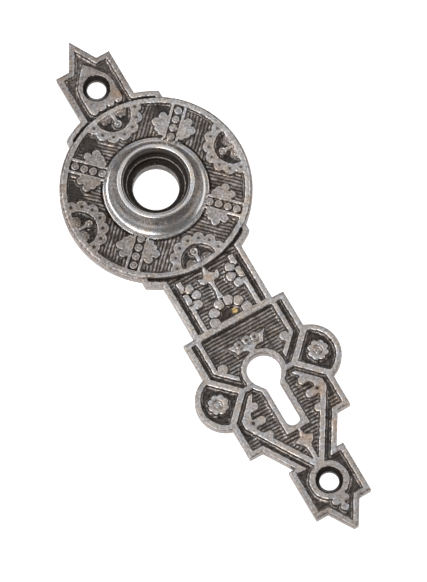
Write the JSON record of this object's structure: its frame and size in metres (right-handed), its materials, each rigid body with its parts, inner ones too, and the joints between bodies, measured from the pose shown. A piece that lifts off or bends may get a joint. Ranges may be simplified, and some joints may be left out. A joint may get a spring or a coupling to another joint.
{
  "type": "door backplate",
  "caption": "Ornate cast iron door backplate: a round rosette with a raised hub for the knob shank, a neck, a lock panel with a keyhole, and pointed ends with countersunk screw holes.",
  "frame": {"origin": "on the spindle axis, in the plane of the flat back that lies on the door", "axes": "+Z out of the door along the spindle axis, +Y up the door along the plate's length, +X to the right seen from the front"},
  "size_m": [0.0634, 0.1896, 0.012],
  "materials": {
    "cast_iron": "worn black finish over satin grey metal, dark in the recesses"
  },
  "bodies": {
    "root": {"backplate": "cast_iron"}
  },
  "joints": []
}
